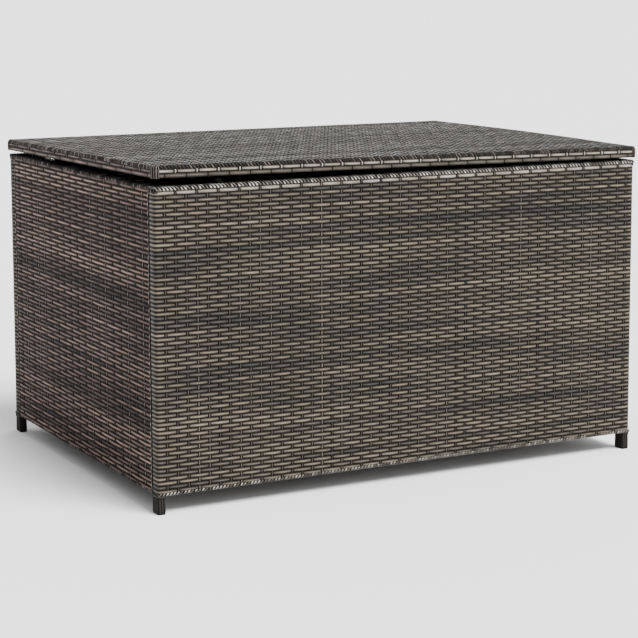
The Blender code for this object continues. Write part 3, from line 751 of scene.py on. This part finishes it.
for sideWord, sideSign in (("left", -1), ("right", 1)):
    for faceWord, faceSign in (("front", -1), ("back", 1)):
        wrap = copyOf(footWrap, f"{faceWord}_{sideWord}_foot_wraps")
        lay(wrap, (0, 0, 0 if faceSign < 0 else 180), (sideSign * p["centreX"], faceSign * p["centreY"], 0))
        makeUneven(wrap, p["uneven"])
        finished(wrap, footFinish, "root", "weave")
bpy.data.objects.remove(footWrap)
print("feet wrapped")

lidDive = dict(hidden=0.0044, edge=0.0064, crest=0.0050)
lidTop = dict(
    level=0.71290, endX=0.5925, rows=97, rowPitch=0.00886, stripWide=0.0103, stripThick=0.0018, bow=0.00240,
    stakes=49, stakePitch=0.02408, stakeWide=0.0052, stakeThick=0.0016, stakeBow=0.0004)


def lidRow(p, over):
    level = -p["level"]
    middle = [(x, level - p["bow"] * out, 0.0, 0, hidden)
              for x, out, hidden in weftRun(panelCrossings(p, over), dive=lidDive)]
    return [(-p["endX"], level, 0, 0, 0)] + middle + [(p["endX"], level, 0, 0, 0)]


lidUneven = dict(strips=[(0.0007, 0.022, "Y"), (0.0006, 0.060, "Z")],
                 others=[(0.0007, 0.022, "X"), (0.0006, 0.060, "Z")])
lidPieces = []
p = lidTop
startY = -p["rows"] * p["rowPitch"] / 2
for word, firstRow, rows in (("front", 0, 48), ("back", 48, 49)):
    start = startY + firstRow * p["rowPitch"]
    strips = wovenRows(f"lid_{word}_strips", p, lidRow, start, rows, p["rowPitch"])
    layStripMap(strips, p["rowPitch"], startY, firstNumber["lid"])
    lay(strips, (-90, 0, 0))
    lidPieces.append((strips, lidFinish, ["lid_weave"] if word == "front" else []))
lidStakes = wovenStakes("lid_stakes", p, (-90, 0, 90), startY, p["level"], firstNumber["lidStakes"], along=1)
lidPieces.append((lidStakes, lidStakeFinish, []))
print("lid top woven")

lidEdge = dict(
    halfX=0.60235, halfY=0.44235, turn=0.010, tubeReach=0.0080,
    lowerAt=0.69560, upperAt=0.70450, lowerWide=0.0112, upperWide=0.0082, thick=0.0020, bow=0.0010,
    lowerBow=0.6, frontPitch=0.02408, sidePitch=0.0415, stakeMargin=0.012, stakeWide=0.0066,
    stakeThick=0.0015, stakeMap=0.012,
    ribPitch=0.00803, ribWide=0.0070, ribThick=0.0020,
    cornerWraps=5, cornerPitch=0.0042, cornerWide=0.0040, cornerThick=0.0020,
    underPitch=0.0056, underWide=0.0064, underThick=0.0011)
upperDive = dict(hidden=0.0046, edge=0.0064, crest=0.0075)
lowerDive = dict(hidden=0.0010, edge=0.0021, crest=0.0075)
p = lidEdge
track = roundedTrack(p["halfX"], p["halfY"], p["turn"])
around = trackLength(track)
arc = math.pi * p["turn"] / 2
flatX, flatY = p["halfX"] - p["turn"], p["halfY"] - p["turn"]
# straight runs of the band: (start, end, stake pitch)
runs = [(0, flatX, p["frontPitch"]), (flatX + arc, flatX + arc + 2 * flatY, p["sidePitch"]),
        (flatX + 2 * arc + 2 * flatY, 3 * flatX + 2 * arc + 2 * flatY, p["frontPitch"]),
        (3 * flatX + 3 * arc + 2 * flatY, 3 * flatX + 3 * arc + 4 * flatY, p["sidePitch"]),
        (3 * flatX + 4 * arc + 4 * flatY, around, p["frontPitch"])]


def runStakes(run):
    start, end, pitch = run
    count = int((end - start - p["stakeMargin"]) / pitch)
    lead = (end - start - count * pitch) / 2
    return [start + lead + i * pitch for i in range(count + 1)]


def edgeRow(name, picks, over, level, wide, bow, shape):
    strips = []
    for start, end, pitch in [runs[i] for i in picks]:
        crossings = [(place, over if i % 2 == 0 else -over)
                     for i, place in enumerate(runStakes((start, end, pitch)))]
        # a strip runs on to the middle of the corner's arc
        turnIn = [(start - arc * k / 8, 0.0, level, 0, 0) for k in ((4, 2, 0) if start > 0 else (0,))]
        turnOut = [(end + arc * k / 8, 0.0, level, 0, 0) for k in ((0, 2, 4) if end < around else (0,))]
        woven = [(x, -bow * out, level, 0, hidden) for x, out, hidden in weftRun(crossings, dive=shape)]
        strips.append(drawStrip(name, turnIn + woven + turnOut, wide, p["thick"]))
    return joined(name, *strips)


def rowsAlong(pattern, picks, pitch):
    # one wrap, repeated along each straight run
    rows = []
    for start, end in [runs[i][:2] for i in picks]:
        row = copyOf(pattern, "wrap_row")
        count = int((end - start) / pitch) + 1
        repeat(row, count, ((end - start) / (count - 1), 0, 0))
        shiftAlong(row, start)
        rows.append(row)
    name = pattern.name
    bpy.data.objects.remove(pattern)
    return joined(name, *rows)


edgePieces = []
for word, picks, upperLook, lowerLook, stakeLook, ribLook in (
        ("", (0, 2, 4), edgeFinish, lowerEdgeFinish, strandFinish, edgeRibFinish),
        ("_side", (1, 3), sideEdgeFinish, sideEdgeFinish, sideEdgeFinish, sideRimFinish)):
    lower = edgeRow(f"lid_edge{word}_lower_strips", picks, -1, p["lowerAt"], p["lowerWide"],
                    p["bow"] * p["lowerBow"], lowerDive)
    upper = edgeRow(f"lid_edge{word}_upper_strips", picks, 1, p["upperAt"], p["upperWide"],
                    p["bow"], upperDive)
    layStripMap(lower, p["lowerWide"], p["lowerAt"] - p["lowerWide"] / 2, firstNumber["lowerEdge"])
    layStripMap(upper, p["upperWide"], p["upperAt"] - p["upperWide"] / 2, firstNumber["upperEdge"])
    stakes = []
    for run in [runs[i] for i in picks]:
        for place in runStakes(run)[1::2]:
            path = [(0.7002, 0.0012, -place, 0), (0.7016, -0.0004, -place, 0), (0.7045, -0.0012, -place, 0),
                    (0.7070, -0.0004, -place, 0), (0.7084, 0.0012, -place, 0)]
            stakes.append(drawStrip("edge_stake", path, p["stakeWide"], p["stakeThick"]))
    stakes = joined(f"lid_edge{word}_stakes", *stakes)
    lay(stakes, (0, -90, 0))
    layStripMap(stakes, p["stakeMap"], 0, firstNumber["edgeStakes"], along=2, across=0)
    ribs = drawStrip(f"lid_edge{word}_ribs", [
        (-0.0002, -0.7080, -0.0030, 270), (-0.0004, -0.7104, -0.0014, 270), (0.0008, -0.7136, 0.0008, 315),
        (0.0032, -0.7148, 0.0022, 360), (0.0085, -0.7148, 0.0034, 360), (0.0130, -0.7128, 0.0040, 395)],
        p["ribWide"], p["ribThick"])
    lay(ribs, (-90, 0, 90))
    ribs = rowsAlong(ribs, picks, p["ribPitch"])
    layStripMap(ribs, p["ribPitch"], 0, firstNumber["edgeRibs"], along=1, across=0)
    edgePieces += [(lower, lowerLook), (upper, upperLook), (stakes, stakeLook), (ribs, ribLook)]

cornerStrand = drawStrip("lid_corner_wraps", [
    (-0.0004, -0.6900, 0.0, 270), (-0.0018, -0.6925, 0.0, 270), (-0.0020, -0.7030, 0.0, 270),
    (-0.0016, -0.7110, 0.0, 270), (0.0006, -0.7144, 0.0, 315), (0.0040, -0.7154, 0.0, 360),
    (0.0088, -0.7140, 0.0, 380)], p["cornerWide"], p["cornerThick"])
lay(cornerStrand, (-90, 0, 90))
strands = []
for start in [run[0] for run in runs[1:]]:  # a corner comes before each of these
    for k in range(p["cornerWraps"]):
        strand = copyOf(cornerStrand, "corner_strand")
        shiftAlong(strand, start - arc / 2 + (k - (p["cornerWraps"] - 1) / 2) * p["cornerPitch"])
        strands.append(strand)
bpy.data.objects.remove(cornerStrand)
cornerWraps = joined("lid_corner_wraps", *strands)
layStripMap(cornerWraps, p["cornerPitch"], 0, firstNumber["corner"], along=2, across=0)
underWrap = drawStrip("lid_under_wraps", [
    (0.0018, -0.6985, 0.002, 90), (0.0018, -0.6930, 0.001, 90), (0.0032, -0.6910, 0.0, 0),
    (0.0300, -0.6908, -0.004, 0), (0.0318, -0.6928, -0.004, 270), (0.0318, -0.7000, -0.004, 270)],
    p["underWide"], p["underThick"])
lay(underWrap, (-90, 0, 90))
underWraps = rowsAlong(underWrap, range(len(runs)), p["underPitch"])
layStripMap(underWraps, p["underPitch"], 0, firstNumber["under"], along=1, across=0)
for piece, finish in edgePieces + [(cornerWraps, cornerFinish), (underWraps, sideRimFinish)]:
    wrapRound(piece, track, p["turn"])
    lidPieces.append((piece, finish, []))
print("lid edge wrapped")


def tuckCorners(points):
    # tube ends stay inside the rounded corners of the edge
    for point in points:
        over = np.abs(point[:2]) - (flatX, flatY)
        reach = math.hypot(*over)
        if over.min() > 0 and reach > lidEdge["tubeReach"]:
            point[:2] = np.sign(point[:2]) * ((flatX, flatY) + over * lidEdge["tubeReach"] / reach)
    return points


for name in ("lid_front_rail", "lid_back_rail", "lid_left_rail", "lid_right_rail", "lid_left_crossbar",
             "lid_right_crossbar"):
    tube = copyOf(nodes[name], name + "_tube")
    tube.parent = None
    tube.matrix_world.identity()
    openMesh(tube)
    bpy.ops.mesh.remove_doubles(threshold=0.00001)
    closeMesh()
    movePoints(tube, tuckCorners)
    lidPieces.append((tube, frameFinish, [name]))

# the lid has taken a set: it stands off the rim at the left front and rests on it at the right
lidSet = dict(frontLeft=0.009, frontRight=-0.004, backLeft=-0.0010, backRight=-0.0010, rightBow=0.003,
              halfX=0.604, halfY=0.444, cage=(1.24, 0.92, 0.10), cageHeight=0.700)


def setHeight(x, y):
    p = lidSet
    across, deep = (x + p["halfX"]) / (2 * p["halfX"]), (y + p["halfY"]) / (2 * p["halfY"])
    front = p["frontLeft"] + (p["frontRight"] - p["frontLeft"]) * across
    back = p["backLeft"] + (p["backRight"] - p["backLeft"]) * across
    bow = p["rightBow"] * across * 4 * deep * (1 - deep)
    return front + (back - front) * deep + bow


clearSelection()
bpy.ops.object.add(type="LATTICE", location=(0, 0, lidSet["cageHeight"]))
lattice = bpy.context.object
lattice.data.points_u, lattice.data.points_v, lattice.data.points_w = 3, 5, 2
for axis in ("u", "v", "w"):
    setattr(lattice.data, "interpolation_type_" + axis, "KEY_LINEAR")
lattice.scale = lidSet["cage"]
cageX, cageY, cageZ = lidSet["cage"]
for point in lattice.data.points:
    point.co_deform.z += setHeight(point.co.x * cageX, point.co.y * cageY) / cageZ
bpy.context.view_layer.update()
for piece, finish, stoodFor in lidPieces:
    if finish is not frameFinish:
        makeUneven(piece, lidUneven["strips" if "strips" in piece.name else "others"])
    addModifier(piece, "LATTICE", object=lattice)
    applyModifiers(piece)
    finished(piece, finish, "lid", "frame" if finish is frameFinish else "weave", *stoodFor)
bpy.data.objects.remove(lattice)
print("lid set")

button = dict(radius=0.0080, base=0.6783, leftTop=0.6922, rightTop=0.6876, y=-0.4217, x=0.450, bevel=0.0008,
              steps=[(0.0022, 0.0004), (0.0020, -0.0010)])  # (inset, rise) of the top's rings
for word, sign in (("left", -1), ("right", 1)):
    p = button
    top = p[word + "Top"]
    clearSelection()
    bpy.ops.mesh.primitive_cylinder_add(vertices=32, radius=p["radius"], depth=top - p["base"],
                                        location=(sign * p["x"], p["y"], (top + p["base"]) / 2))
    piece = bpy.context.object
    piece.name = piece.data.name = f"{word}_bumper_button"
    settle(piece)
    openMesh(piece, False)
    bm = bmesh.from_edit_mesh(piece.data)
    for face in bm.faces:
        face.select = face.normal.z > 0.9
    bmesh.update_edit_mesh(piece.data)
    for inset, rise in p["steps"]:
        bpy.ops.mesh.inset(thickness=inset)
        bpy.ops.transform.translate(value=(0, 0, rise))
    closeMesh()
    addModifier(piece, "BEVEL", width=p["bevel"], segments=2, limit_method="ANGLE")
    applyModifiers(piece)
    finished(piece, rubberFinish, "root", "rubber", f"{word}_bumper")
print("buttons made")

clearSelection()
bpy.ops.mesh.primitive_plane_add(size=160, location=(0, 0, 0))
floor = bpy.context.object
floor.name = "studio_floor"
floorFinish, tree, shader = newFinish("studio_floor", Roughness=0.9)
shader.inputs["Base Color"].default_value = (0.92, 0.92, 0.92, 1)
floor.data.materials.append(floorFinish)

studio = dict(sky=1.7, dimSide=0.24, key=7.0, keySoftness=30, keyFrom=(0.35, -0.85, 1.35))
world = bpy.data.worlds.new("studio")
bpy.context.scene.world = world
world.use_nodes = True
background = world.node_tree.nodes["Background"]
skyTree = world.node_tree
direction = addNode(skyTree, "SeparateXYZ", {0: addNode(skyTree, "TexCoord").outputs["Generated"]}).outputs[0]
side = addNode(skyTree, "MapRange", {0: direction, 1: -0.8, 2: 0.5, 3: studio["dimSide"], 4: 1.0}).outputs[0]
skyTree.links.new(calc(skyTree, "MULTIPLY", side, studio["sky"]), background.inputs["Strength"])
background.inputs["Color"].default_value = (1.0, 1.0, 1.0, 1)
keyLamp = bpy.data.lights.new("key", "SUN")
keyLamp.energy = studio["key"]
keyLamp.angle = math.radians(studio["keySoftness"])
key = bpy.data.objects.new("key", keyLamp)
bpy.context.scene.collection.objects.link(key)
key.rotation_mode = "QUATERNION"
key.rotation_quaternion = Vector(studio["keyFrom"]).to_track_quat("Z", "Y")

view = dict(target=(-0.2235, -0.44, 0.585), azimuth=-28.07, elevation=7.29, distance=4.126, lens=110.2,
            roll=-0.168, rise=-0.15)
azimuth, elevation = math.radians(view["azimuth"]), math.radians(view["elevation"])
back = Vector((math.sin(azimuth) * math.cos(elevation), -math.cos(azimuth) * math.cos(elevation),
               math.sin(elevation)))
cameraData = bpy.data.cameras.new("camera")
cameraData.lens = view["lens"]
cameraData.sensor_width = 36
cameraData.shift_y = view["rise"]
camera = bpy.data.objects.new("camera", cameraData)
bpy.context.scene.collection.objects.link(camera)
camera.location = Vector(view["target"]) + back * view["distance"]
camera.rotation_mode = "QUATERNION"
camera.rotation_quaternion = (Quaternion(back, math.radians(view["roll"]))
                              @ (-back).to_track_quat("-Z", "Y"))
bpy.context.scene.camera = camera
print("studio lit")
